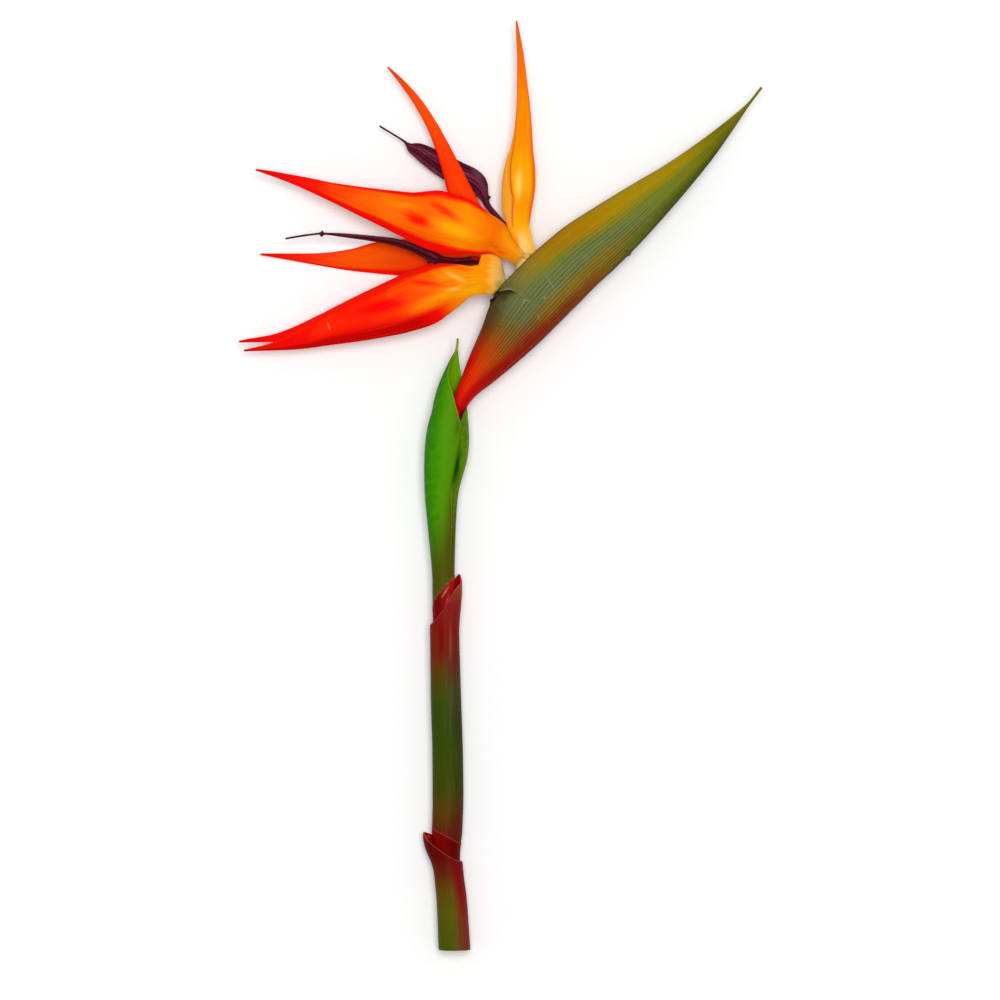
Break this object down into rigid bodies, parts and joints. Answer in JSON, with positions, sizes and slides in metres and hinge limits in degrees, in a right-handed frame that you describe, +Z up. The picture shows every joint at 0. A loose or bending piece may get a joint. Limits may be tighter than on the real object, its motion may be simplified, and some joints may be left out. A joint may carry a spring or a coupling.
{
  "type": "bird of paradise flower",
  "caption": "Cut bird of paradise flower lying on its side: a sheathed stem, a beak-like spathe held out from it, and a fan of pointed orange petals with dark arrow petals.",
  "frame": {"origin": "on the table, under the middle of the flower's bounding box", "axes": "+Y along the stem from its cut end to the bloom, +Z up off the table toward the open side of the bloom, +X toward the spathe's tip; the flower lies on its side"},
  "size_m": [0.2096, 0.3724, 0.0217],
  "materials": {
    "scape": "matt cut plant tissue, pale green",
    "sheath_red": "smooth waxy sheath, dark red with olive shading",
    "sheath_brown": "smooth waxy sheath, red above and olive below",
    "sheath_green": "smooth waxy bract, bright green",
    "spathe": "ribbed waxy bract, red at its foot, grey-green and mustard further out",
    "neck": "satin cream flower neck",
    "sepal": "satin orange petal, red at its margins and tip",
    "arrow": "matt dark purple"
  },
  "bodies": {
    "root": {"scape": "scape", "sheath_lower": "sheath_red", "sheath_middle": "sheath_brown", "sheath_upper": "sheath_green", "spathe": "spathe", "upper_neck": "neck", "upper_sepal_upright": "sepal", "upper_sepal_front": "sepal", "upper_sepal_rear": "sepal", "upper_arrow": "arrow", "lower_neck": "neck", "lower_sepal_front": "sepal", "lower_sepal_middle": "sepal", "lower_sepal_rear": "sepal", "lower_arrow": "arrow"}
  },
  "joints": []
}
